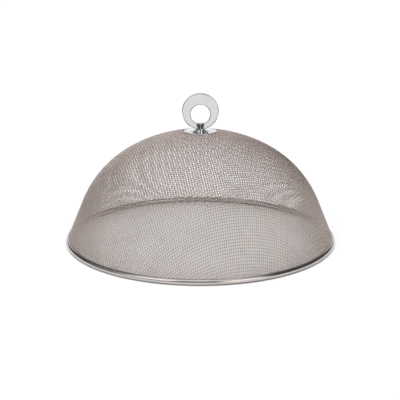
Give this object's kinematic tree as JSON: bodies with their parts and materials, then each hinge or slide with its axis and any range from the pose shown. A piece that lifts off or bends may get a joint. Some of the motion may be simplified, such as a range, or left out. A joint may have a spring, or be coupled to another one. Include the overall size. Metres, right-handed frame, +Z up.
{
  "type": "buffet food cover dome",
  "caption": "Round dome of open wire mesh that covers food, with a rolled steel rim to stand on and a flat finger ring on top to lift it by.",
  "frame": {"origin": "on the table, under the middle of the rim", "axes": "+Z up from the table through the handle; the flat of the finger ring faces -Y, the front"},
  "size_m": [0.35, 0.35, 0.1915],
  "materials": {
    "mesh_steel": "satin woven wire",
    "rim_steel": "polished rolled sheet",
    "handle_chrome": "polished",
    "hardware_steel": "bright zinc"
  },
  "bodies": {
    "root": {"mesh_warp": "mesh_steel", "mesh_weft": "mesh_steel", "rim_wire": "hardware_steel", "rim_band": "rim_steel", "handle_ring": "handle_chrome", "handle_rosette": "handle_chrome", "backing_washer": "hardware_steel", "spring_washer": "hardware_steel", "handle_screw": "hardware_steel"}
  },
  "joints": []
}
